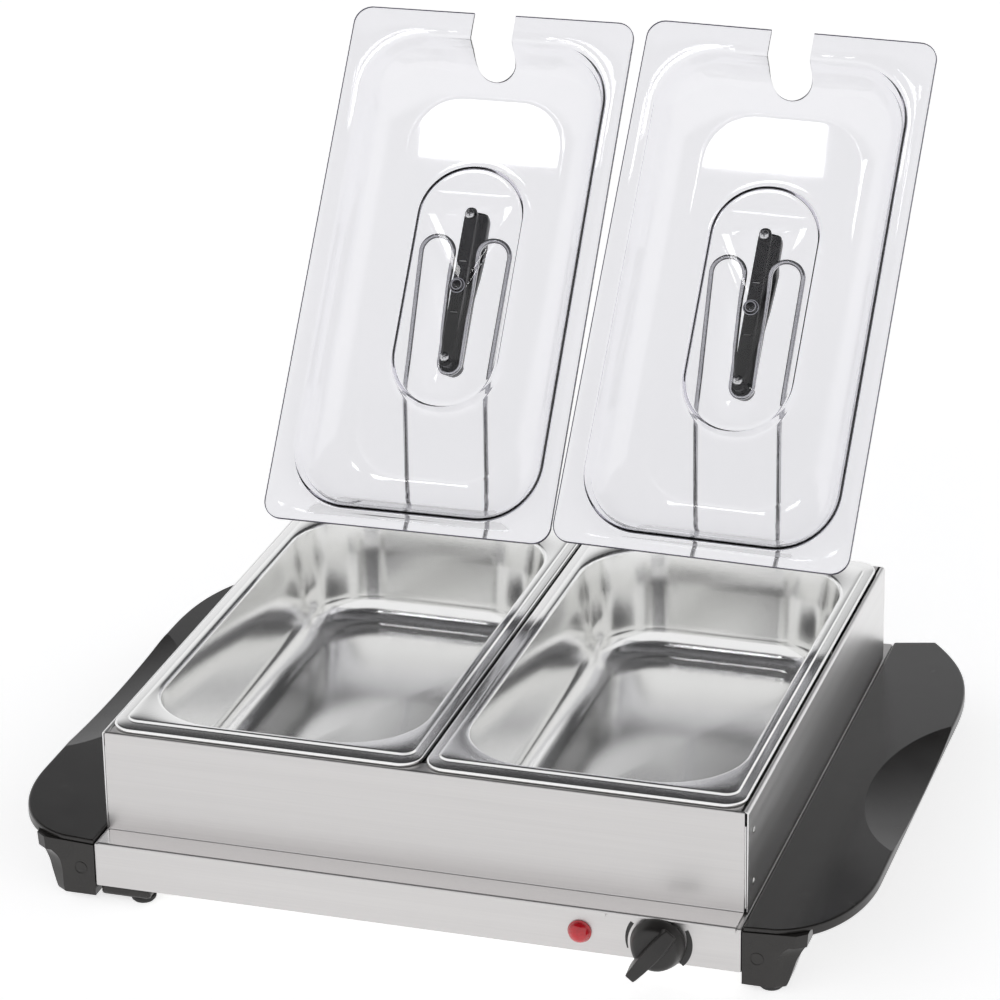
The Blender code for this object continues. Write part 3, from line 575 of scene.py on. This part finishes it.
front_panel()
refined("rear_panel", "frame_rear", STEEL_X, "frame", "brushed_steel", 0.0002)
for side in SIDES:
    # The side panels take the lighter steel copy: painted light.
    refined(f"side_panel_{side}", f"frame_side_{side}", STEEL_Y_PAINTED_LIGHTER, "frame", "brushed_steel", 0.0002)
    refined(f"socket_{side}", f"stand_socket_{side}", PRESSED, "frame", "satin_steel", 0.0002)
    for end in ("front", "rear"):
        refined(f"angle_{end}_{side}", f"corner_angle_{end}_{side}", PRESSED, "frame",
                "satin_steel")
    for i in (1, 2):
        refined(f"side_rivet_{side}_{i}", f"rivet_{side}_{i}", ZINC, "frame", "zinc_plate")
refined("middle_rail", "divider_rail", PRESSED, "frame", "satin_steel", 0.0002)


# ---------------------------------------------------------------- heated base
refined("tray", "base_shell", STEEL_X, "base", "brushed_steel")
refined("floor_plate", "bottom_plate", ZINC, "base", "zinc_plate", 0.0002)
refined("spreader", "heat_spreader", PRESSED, "base", "satin_steel")
refined("element", "heating_element", ZINC, "base", "zinc_plate", sharp=40.0)
refined("pad", "insulation_pad", WOOL, "base", "mineral_wool")
refined("terminals", "terminal_block", CERAMIC, "base", "white_ceramic", 0.0005)
refined("regulator", "thermostat", CERAMIC, "base", "white_ceramic", 0.0003)
refined("bulb_holder", "lamp_holder", CERAMIC, "base", "white_ceramic", 0.0003)
refined("lead_a", "lead_thermostat", SLEEVE, "base", "wire_sleeve", sharp=50.0)
refined("lead_b", "lead_lamp", SLEEVE, "base", "wire_sleeve", sharp=50.0)
refined("inlet_ring", "inlet_bushing", RUBBER, "base", "black_rubber", 0.0003)
refined("inboard_pad", "foot_pad", BLACK, "base", "black_plastic", 0.0004)
for i in range(1, 5):
    refined(f"floor_screw_{i}", f"bottom_screw_{i}", ZINC, "base", "zinc_plate")
for i in (1, 2):
    refined(f"strap_{i}", f"element_strap_{i}", ZINC, "base", "zinc_plate")


def wing_outline(steps=28):
    """A side handle's outline as (distance from the base's side, y)."""
    front = bezier((0.018, -0.180), (0.041, -0.1765), (0.0583, -0.150), (0.0583, -0.110), steps)
    rear = bezier((0.0583, 0.088), (0.0583, 0.135), (0.048, 0.160), (0.0245, 0.191), steps)
    return [(0.0, -0.180)] + front + rear + [(0.0, 0.187)]


def wing(side):
    """A moulded side handle: a tilted plate with a crisp finger scoop, let in over the legs."""
    sign = SIDES[side]
    outline = [(sign * x, y) for x, y in wing_outline()]
    bm = bmesh.new()
    top = [bm.verts.new((x, y, 0.0)) for x, y in outline]
    low = [bm.verts.new((x, y, -WING_THICKNESS)) for x, y in outline]
    bm.faces.new(top)
    bm.faces.new(list(reversed(low)))
    for i in range(len(outline)):
        j = (i + 1) % len(outline)
        bm.faces.new((top[i], low[i], low[j], top[j]))
    turn = Matrix.Rotation(-WING_TILT * sign, 3, "Y")
    spot = on_deck(sign * (BASE_HALF_X + GAP), 0, WING_TOP, turn)
    name = f"side_handle_{side}"
    handle = add(name, to_mesh(name, bm), BLACK, spot)
    round_edges(handle, 0.0012, 6, 50.0)
    middle = Vector((sign * SCOOP_X, SCOOP_Y, SCOOP_Z))
    bm = bmesh.new()
    bmesh.ops.create_uvsphere(bm, u_segments=240, v_segments=160, radius=1.0)
    bmesh.ops.scale(bm, vec=SCOOP_RADII, verts=bm.verts)
    bmesh.ops.translate(bm, vec=middle, verts=bm.verts)
    low_x, high_x = sorted((-0.002 * sign, LEG_REACH * sign))
    for low_y, high_y in ((-0.185, -0.157), (0.163, 0.195)):    # pockets over the leg blocks
        add_block(bm, (low_x, low_y, -0.012), (high_x, high_y, -POCKET_ROOF))
    combine(handle, add(name + "_hollows", to_mesh(name + "_hollows", bm), BLACK, spot))
    freeze(handle)
    smooth(handle.data, 28.0)

    def scooped(face):
        """Whether a face lies on the scoop's ellipsoid."""
        offset = face.calc_center_median() - middle
        return abs(sum((o / r) ** 2 for o, r in zip(offset, SCOOP_RADII)) - 1.0) < 0.004

    bm = bmesh.new()
    bm.from_mesh(handle.data)
    for edge in bm.edges:
        if len({scooped(face) for face in edge.link_faces}) == 2:
            edge.smooth = False
    bm.to_mesh(handle.data)
    bm.free()
    modify(handle, "WEIGHTED_NORMAL", keep_sharp=True)
    settle(handle, "base", "black_plastic", f"wing_handle_{side}")


def flow(stations, steps):
    """Rows of numbers eased between stations by a Catmull-Rom curve."""
    rows = []
    last = len(stations) - 1
    for i in range(last):
        p = [stations[max(i - 1, 0)], stations[i], stations[i + 1], stations[min(i + 2, last)]]
        for k in range(steps):
            t = k / steps
            rows.append([0.5 * ((2 * b) + (c - a) * t + (2 * a - 5 * b + 4 * c - d) * t * t
                                + (3 * b - a - 3 * c + d) * t ** 3)
                         for a, b, c, d in zip(*p)])
    rows.append(list(stations[last]))
    return rows


def leg(side, end):
    """A corner leg whose column sweeps out in a hollow curve to a straight header band."""
    sign = SIDES[side]
    mirror_y = 1 if end == "front" else -1
    face = BASE_FRONT if end == "front" else -BASE_REAR
    inner = BASE_HALF_X + GAP
    # Each row: front corner x, side corner x, side corner and back y behind the face, z.
    column = [(0.1990, 0.2040, 0.0035, 0.0170, -0.0320), (0.2002, 0.2056, 0.0035, 0.0180, -0.0305),
              (0.2006, 0.2085, 0.0045, 0.0187, -0.0215), (0.2010, 0.2100, 0.0052, 0.0193, -0.0165),
              (0.2025, 0.2125, 0.0060, 0.0210, -0.0115), (0.2066, 0.2150, 0.0060, 0.0220, -0.0075)]
    header_top = WING_TOP - POCKET_ROOF - GAP
    header = [(0.2100, 0.2156, 0.0040, 0.0230, -0.0073),
              (0.2106, 0.2162, 0.0040, 0.0230, header_top)]
    rings = []
    for front_x, side_x, side_y, back_y, z in [*flow(column, 4), *header]:
        if end == "rear" and z > -0.0120:       # kept under the handle's narrower rear end
            front_x, side_x, side_y = min(front_x, 0.2065), min(side_x, 0.2148), 0.0110
        pts = [(inner, face), (front_x, face), (side_x, face + side_y), (side_x, face + back_y),
               (inner, face + back_y)]
        slope = math.tan(WING_TILT) if z == header_top else 0.0
        rings.append([(sign * x, mirror_y * y, z + slope * (x - inner)) for x, y in pts])
    name = f"leg_{end}_{side}"
    obj = add(name, loft(name, rings, cap_first=True, sharp=30.0), BLACK, on_deck())
    round_edges(obj, 0.0007, 3, 28.0)
    modify(obj, "WEIGHTED_NORMAL", keep_sharp=True)
    settle(obj, "base", "black_plastic", f"leg_block_{end}_{side}")
    if end == "front":
        section = ((0.0038, 0.0), (0.0037, -0.0003), (0.0032, -0.0003), (0.0031, 0.0))
        rings = [[(r * math.cos(a), depth, r * math.sin(a))
                  for a in (2 * math.pi * k / 40 for k in range(40))] for r, depth in section]
        ring = loft(f"leg_mark_{side}", rings, cap_last=False)
        settle(add(f"leg_mark_{side}", ring, BLACK, on_deck(sign * 0.1898, face, -0.0162)),
               "base", "black_plastic")


def foot(node_name):
    """A turned rubber foot with a rolled edge, as large as its CAD solid."""
    low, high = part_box(node_name)
    middle = (low + high) / 2
    r = (high.x - low.x) / 2
    h = high.z - low.z
    profile = [(0.0, h), (r * 0.9, h), (r, h - 0.0004), (r, h * 0.55), (r * 0.95, h * 0.30),
               (r * 0.84, 0.0004), (r * 0.80, 0.0), (r * 0.30, 0.0), (r * 0.26, 0.0003),
               (0.0, 0.0003)]
    obj = add(node_name + "_tread", revolve(node_name + "_tread", profile), RUBBER,
              Matrix.Translation((middle.x, middle.y, low.z)))
    settle(obj, "base", "black_rubber", node_name)


for side in SIDES:
    wing(side)
    for end in ("front", "rear"):
        leg(side, end)
        foot(f"foot_{end}_{side}")


# ---------------------------------------------------------------- controls
def knob():
    """Dial with a soft rim and a ridged pointer bar that overhangs it."""
    facing = Matrix.Rotation(math.pi / 2, 3, "X")
    spot = on_deck(*(KNOB + KNOB_STANDOFF), facing)
    profile = [(0.0, 0.0096), (0.0094, 0.0096), (0.0104, 0.0094), (0.0116, 0.0088),
               (0.0125, 0.0078), (0.0134, 0.0056), (0.0143, 0.0030), (0.0147, 0.0016),
               (0.0148, 0.0007), (0.0147, 0.0), (0.0, 0.0)]
    dial = add("dial", revolve("dial", profile, 72, 25.0), KNOB_BLACK, spot)
    settle(dial, "knob", "black_plastic", "control_knob")
    # Each row: place along the bar, half width at the foot, height, half width at the top.
    stations = [(-0.0149, 0.0038, 0.0093, 0.0024), (-0.0120, 0.0050, 0.0112, 0.0035),
                (-0.0080, 0.0053, 0.0142, 0.0040), (-0.0040, 0.0052, 0.0158, 0.0041),
                (0.0020, 0.0050, 0.0168, 0.0040), (0.0090, 0.0045, 0.0173, 0.0036),
                (0.0150, 0.0039, 0.0174, 0.0031), (0.0178, 0.0034, 0.0172, 0.0027)]
    rings = []
    for x, half, top, ridge in stations:
        foot_z = 0.0060 if x > -0.0140 else 0.0080
        rings.append([(x, -half, foot_z), (x, half, foot_z), (x, ridge, top), (x, -ridge, top)])
    bar = loft("pointer", rings, cap_first=True, sharp=20.0)
    aim = facing @ Matrix.Rotation(POINTER_ANGLE, 3, "Z")
    pointer = add("pointer", bar, KNOB_BLACK, on_deck(*(KNOB + KNOB_STANDOFF), aim))
    round_edges(pointer, 0.0006, 3, 25.0)
    modify(pointer, "WEIGHTED_NORMAL", keep_sharp=True)
    settle(pointer, "knob", "black_plastic")
    refined("spindle", "knob_shaft", ZINC, "knob", "zinc_plate")


def crescent(name, start, end, widths, outer=0.0183):
    """A printed heat mark round the knob; widths are sampled evenly from start to end."""
    steps = 40
    back, face = -0.00004, -0.00008
    bm = bmesh.new()
    rows = []
    for i in range(steps + 1):
        t = i / steps
        a = math.radians(start + (end - start) * t)
        spot = t * (len(widths) - 1)
        k = min(int(spot), len(widths) - 2)
        width = widths[k] + (widths[k + 1] - widths[k]) * (spot - k)
        rows.append([(r * math.cos(a), r * math.sin(a)) for r in (outer, outer - width)])
    loops = []
    for (xo, zo), (xi, zi) in rows:
        loops.append([bm.verts.new(p) for p in ((xo, back, zo), (xo, face, zo),
                                                (xi, face, zi), (xi, back, zi))])
    for lower, upper in zip(loops, loops[1:]):
        for k in range(4):
            m = (k + 1) % 4
            bm.faces.new((lower[k], lower[m], upper[m], upper[k]))
    bm.faces.new(list(reversed(loops[0])))
    bm.faces.new(loops[-1])
    settle(add(name, to_mesh(name, bm), INK, on_deck(*KNOB)), "base", "black_plastic")


def lamp():
    """A red domed lens with a stepped collar, standing in the fascia."""
    facing = Matrix.Rotation(math.pi / 2, 3, "X")
    profile = [(0.0, 0.0056)]
    for i in range(1, 13):
        a = math.radians(90 * i / 12)
        profile.append((LENS_RADIUS * math.sin(a), 0.0012 + 0.0044 * math.cos(a)))
    profile += [(0.0063, 0.0011), (COLLAR_RADIUS, 0.0009), (COLLAR_RADIUS, 0.0003),
                (0.0046, 0.0003), (0.0046, -0.0012), (0.0, -0.0012)]
    lens = add("lens", revolve("lens", profile, 64), RED, on_deck(*LAMP, facing))
    settle(lens, "base", "red_lens", "lamp_lens")


knob()
crescent("heat_mark_low", 147, 200, (0.0022, 0.0021, 0.0017, 0.0012, 0.0007))
crescent("heat_mark_high", 30, -44, (0.0020, 0.0030, 0.0037, 0.0041, 0.0042))
lamp()


# ---------------------------------------------------------------- pans
def pan(side):
    """A pressed pan: rolled rim edge, stepped rim, soft mouth and a wide floor radius."""
    rim = ((0.0008, 0.0008, 0.0112, -0.0026), (0.0004, 0.0004, 0.0116, -0.0021),
           (0.0004, 0.0004, 0.0116, -0.0012), (0.0006, 0.0006, 0.0114, -0.0008),
           (0.0009, 0.0009, 0.0111, -0.0005), (0.0014, 0.0014, 0.0106, -0.0004),
           (0.0050, 0.0090, 0.0080, -0.0008), (0.0056, 0.0096, 0.0074, -0.0007),
           (0.0060, 0.0100, 0.0070, -0.0002), (0.0064, 0.0104, 0.0066, 0.0004),
           (0.0070, 0.0110, 0.0062, 0.0005))
    mouth = ((0.0789, 0.1503, 0.0458, 0.0005), (0.0782, 0.1496, 0.0453, 0.0004),
             (0.0775, 0.1489, 0.0447, 0.0000), (0.0770, 0.1484, 0.0442, -0.0006),
             (0.0768, 0.1482, 0.0440, -0.0012))
    walls = ((0.0742, 0.1456, 0.0420, 0.0400), (0.0715, 0.1429, 0.0400, 0.0180))
    rings = [rounded_rectangle(PAN_HALF_X - x, PAN_HALF_Y - y, radius, PAN_TOP + z)
             for x, y, radius, z in rim]
    rings += [rounded_rectangle(x, y, radius, PAN_TOP + z) for x, y, radius, z in mouth]
    rings += [rounded_rectangle(*row) for row in walls]
    for degrees in range(3, 91, 3):
        a = math.radians(degrees)
        inset = PAN_FILLET * (1 - math.cos(a))
        drop = PAN_FILLET * math.sin(a)
        rings.append(rounded_rectangle(0.0712 - inset, 0.1426 - inset, 0.0398 - inset,
                                       PAN_FLOOR + PAN_FILLET - drop))
    for i in range(1, 13):
        part = 1 - i / 13
        rings.append(rounded_rectangle(0.0552 * part, 0.1266 * part, 0.0238 * part,
                                       PAN_FLOOR + PAN_CROWN * (1 - part ** 2)))
    name = f"food_pan_{side}"
    obj = add(name, loft(name, rings, sharp=40.0), PRESSED, on_deck(SIDES[side] * PAN_X))
    modify(obj, "SOLIDIFY", thickness=PAN_SHEET, offset=0.0)
    settle(obj, f"{side}_pan", "satin_steel", f"pan_{side}")


# ---------------------------------------------------------------- wire stands
def stand(side):
    """A bent wire: two legs, two shoulders and the U that holds the lid's handle."""
    along = Vector((0, math.sin(WIRE_LEAN), math.cos(WIRE_LEAN)))
    kink = Vector((0, WIRE_Y, WIRE_KINK_Z + STAND_RISE[side]))
    leg_half, shoulder_half, slot_half = 0.0252, 0.0277, 0.0078
    shoulder_top, slot_bottom, kink_radius = 0.0950, 0.0111, 0.030

    def upper(x, s):
        """A spot s along the leaning part of the wire."""
        return Vector((x, 0, 0)) + kink + along * s

    shoulder_r = (shoulder_half - slot_half) / 2
    shoulder_x = slot_half + shoulder_r
    shoulder_s = shoulder_top - shoulder_r
    half = bent([(leg_half, WIRE_Y, WIRE_FOOT_Z), tuple(upper(leg_half, 0)),
                 tuple(upper(shoulder_half, shoulder_s))], kink_radius, 12)
    half += [upper(x, s) for x, s in arc((shoulder_x, shoulder_s), shoulder_r, 8, 180, 28)]
    half += [upper(x, s) for x, s in arc((0, slot_bottom + slot_half), slot_half, 0, -90, 14)]
    other = [Vector((-p.x, p.y, p.z)) for p in reversed(half[:-1])]
    x = SIDES[side] * LID_X + WIRE_SHIFT_X[side]
    obj = rail(f"stand_wire_{side}", half + other, WIRE_RADIUS, CHROME, on_deck(x))
    settle(obj, f"{side}_stand", "chromed_wire", f"wire_stand_{side}")


# ---------------------------------------------------------------- lids
def lid_place(side):
    """The matrix of a lid's own axes: x across, y towards the notch, z out of its inner face."""
    lean_up = Vector((0, math.sin(LID_LEAN), math.cos(LID_LEAN)))
    lower_edge = Vector((SIDES[side] * LID_X, 0, STAND_RISE[side])) + LID_EDGE
    centre = lower_edge + lean_up * LID_HALF_LENGTH
    turn = (Matrix.Rotation(math.pi / 2 - LID_LEAN, 3, "X")
            @ Matrix.Rotation(LID_ROLL[side], 3, "Z"))
    return on_deck(*centre, turn)


def lid(side):
    """Clear moulded cover: flange, domed walls, recessed grip well, spoon notch and a boss."""
    spot = lid_place(side)
    flange = -0.0009
    dome_y = -0.0025
    steps = 18
    # Rows of half width and height; the walls' rows have the corner radius between the two.
    brow = bent([(0.0800, flange), (0.0765, flange), (0.0739, -0.0075)], 0.0022, 6)[:-1]
    walls = flow([(0.0739, 0.0350, -0.0075), (0.0722, 0.0340, -0.0120), (0.0670, 0.0330, -0.0200),
                  (0.0600, 0.0320, -0.0247), (0.0550, 0.0315, -0.0263),
                  (0.0500, 0.0310, -DOME_DEPTH), (0.0480, 0.0300, -DOME_DEPTH)], 5)
    walls.append((0.0465, 0.0293, -DOME_DEPTH))
    well = bent([(0.0390, -DOME_DEPTH), (0.0345, -DOME_DEPTH), (0.0322, -WELL_DEPTH),
                 (0.0290, -WELL_DEPTH)], 0.0018, 6)
    rings = [rounded_rectangle(LID_HALF_X, LID_HALF_LENGTH, 0.0110, flange, 0.0, steps)]
    rings += [rounded_rectangle(a, a + 0.0725, 0.0350 + 0.6 * (a - 0.0739), w, dome_y, steps)
              for a, w in brow]
    rings += [rounded_rectangle(a, a + 0.0725, r, w, dome_y, steps) for a, r, w in walls]
    rings += [rounded_rectangle(a, a + 0.0430, a - 0.0005, w, HANDLE_V, steps) for a, w in well]
    name = f"cover_{side}"
    cover = add(name, loft(name, rings, sharp=60.0), CLEAR, spot)
    modify(cover, "SOLIDIFY", thickness=LID_WALL, offset=0.0)
    ring = arc((0, NOTCH_V), NOTCH_RADIUS, 180, 360, 28) + [(NOTCH_RADIUS, 0.180),
                                                            (-NOTCH_RADIUS, 0.180)]
    slot = loft(name + "_slot", [[(x, y, z) for x, y in ring] for z in (-0.040, 0.010)],
                cap_first=True)
    combine(cover, add(slot.name, slot, None, spot))
    for sign in (-1, 1):
        round_hole = arc((0, HANDLE_V + sign * SCREW_PITCH / 2), 0.0020, 0, 360, 24)[:-1]
        hole = loft(name + f"_hole{sign}", [[(x, y, z) for x, y in round_hole]
                                            for z in (-0.030, -0.015)], cap_first=True)
        combine(cover, add(hole.name, hole, None, spot))
    boss = revolve(name + "_boss", [(0.0, 0.0037), (0.0012, 0.0036), (0.0024, 0.0033),
                                    (0.0034, 0.0027), (0.0042, 0.0018), (0.0046, 0.0008),
                                    (0.0046, 0.0), (0.0, 0.0)])
    combine(cover, add(boss.name, boss, None,
                       spot @ Matrix.Translation((0, HANDLE_V, -WELL_DEPTH))), "UNION")
    round_edges(cover, 0.0008, 3, 62.0)
    settle(cover, f"{side}_lid", "clear_plastic", f"lid_{side}")
    smooth(cover.data, 35.0)
    COVERS.objects.link(cover)
    lid_lines(side, spot, flange, steps)


def lid_lines(side, spot, flange, steps):
    """Painted light on clear plastic: two dark painted shade lines round the flange's edge, two
    pale painted highlight rings on the boss.
    """
    inset = 0.0002
    length = LID_HALF_LENGTH - inset
    outer = rounded_rectangle(LID_HALF_X - inset, length, 0.0108, 0.0, 0.0, steps)
    outer = outer[steps + 1:] + outer[:steps + 1]
    outline = [(-NOTCH_RADIUS, length), *((x, y) for x, y, z in outer), (NOTCH_RADIUS, length)]
    heights = (flange - LID_WALL / 2 + inset, flange + LID_WALL / 2 - inset)
    # Dark rails along the flange's edge: painted shade lines.
    for i, height in enumerate(heights):
        shade_line = rail(f"cover_edge_shade_{side}_{i + 1}", [(x, y, height) for x, y in outline], 0.00025,
                    PAINTED_EDGE_SHADE, spot, 8)
        settle(shade_line, f"{side}_lid", "clear_plastic")
    seat = spot @ Matrix.Translation((0, HANDLE_V, -WELL_DEPTH + LID_WALL / 2))
    # Two pale rings on the boss: painted highlights.
    for i, (radius, height) in enumerate(((0.0045, 0.0004), (0.0031, 0.0022))):
        circle = [(x, y, height) for x, y in arc((0, 0), radius, 0, 360, 40)]
        glint_ring = rail(f"boss_glint_{side}_{i + 1}", circle, 0.0003, BOSS_GLINT, seat, 10)
        settle(glint_ring, f"{side}_lid", "clear_plastic")


def grip(side):
    """The black T-section handle behind the well, with marks along its rail."""
    spot = lid_place(side) @ Matrix.Translation((0, HANDLE_V, 0))
    foot_w = -WELL_DEPTH - LID_SHEET / 2 - GAP
    under = -0.0355
    sections = [(0.0036, 0.0501, foot_w), (0.0040, 0.0505, foot_w - 0.0004),
                (0.0040, 0.0505, under + 0.0006), (0.0046, 0.0508, under),
                (0.0068, 0.0517, under - 0.0002), (0.0075, 0.0523, under - 0.0006),
                (0.0078, 0.0526, under - 0.0014), (0.0078, 0.0526, under - 0.0056),
                (0.0074, 0.0521, under - 0.0074), (0.0063, 0.0508, under - 0.0089),
                (0.0050, 0.0492, under - 0.0096), (0.0036, 0.0476, under - 0.0098)]
    rings = [rounded_rectangle(x, y, x - 0.0003, z, 0.0, 10) for x, y, z in sections]
    name = f"grip_{side}"
    bar = add(name, loft(name, rings, cap_first=True, sharp=35.0), GLOSS_BLACK, spot)
    for i, v in enumerate(GRIP_MARKS_V):
        groove = block(f"{name}_groove{i}", (-0.0022, v - 0.0002, foot_w - 0.0003),
                       (0.0022, v + 0.0002, foot_w + 0.001))
        combine(bar, add(groove.name, groove, None, spot))
    modify(bar, "WEIGHTED_NORMAL", keep_sharp=True)
    settle(bar, f"{side}_lid", "black_plastic", f"lid_handle_{side}")
    for i, v in enumerate(GRIP_MARKS_V):
        mark = block(f"{name}_mark{i}", (-0.0021, v - 0.00018, foot_w - 0.00025),
                     (0.0021, v + 0.00018, foot_w - 0.00005))
        settle(add(mark.name, mark, ZINC, spot), f"{side}_lid", "zinc_plate")


def screw(side, i):
    """A pan-head screw with a cross recess, seated on the well floor."""
    sign = 1 if i == 0 else -1
    seat = -WELL_DEPTH + LID_SHEET / 2
    spot = lid_place(side) @ Matrix.Translation((0, HANDLE_V + sign * SCREW_PITCH / 2, seat))
    profile = [(0.0, 0.0018), (0.0010, 0.00176), (0.0018, 0.00155), (0.0024, 0.0012),
               (0.0028, 0.0008), (0.0030, 0.0004), (0.0030, 0.0003), (0.0014, 0.0003),
               (0.0014, -0.0095), (0.0, -0.0095)]
    name = f"head_{side}_{i + 1}"
    head = add(name, revolve(name, profile, 40), CHROME, spot)
    for k in range(2):
        turn = Matrix.Rotation(math.radians(25 + 90 * k + 40 * i), 4, "Z")
        slit = block(f"{name}_slit{k}", (-0.0017, -0.00032, 0.0007), (0.0017, 0.00032, 0.003))
        combine(head, add(slit.name, slit, None, spot @ turn))
    settle(head, f"{side}_lid", "zinc_plate", f"handle_screw_{side}_{i + 1}")
    smooth(head.data, 30.0)


for side in SIDES:
    pan(side)
    stand(side)
    lid(side)
    grip(side)
    for i in (0, 1):
        screw(side, i)
drop_cutters()


# ---------------------------------------------------------------- floor
bm = bmesh.new()
bmesh.ops.create_grid(bm, x_segments=8, y_segments=8, size=7.0)
stage = add("stage_floor", to_mesh("stage_floor", bm), FLOOR)
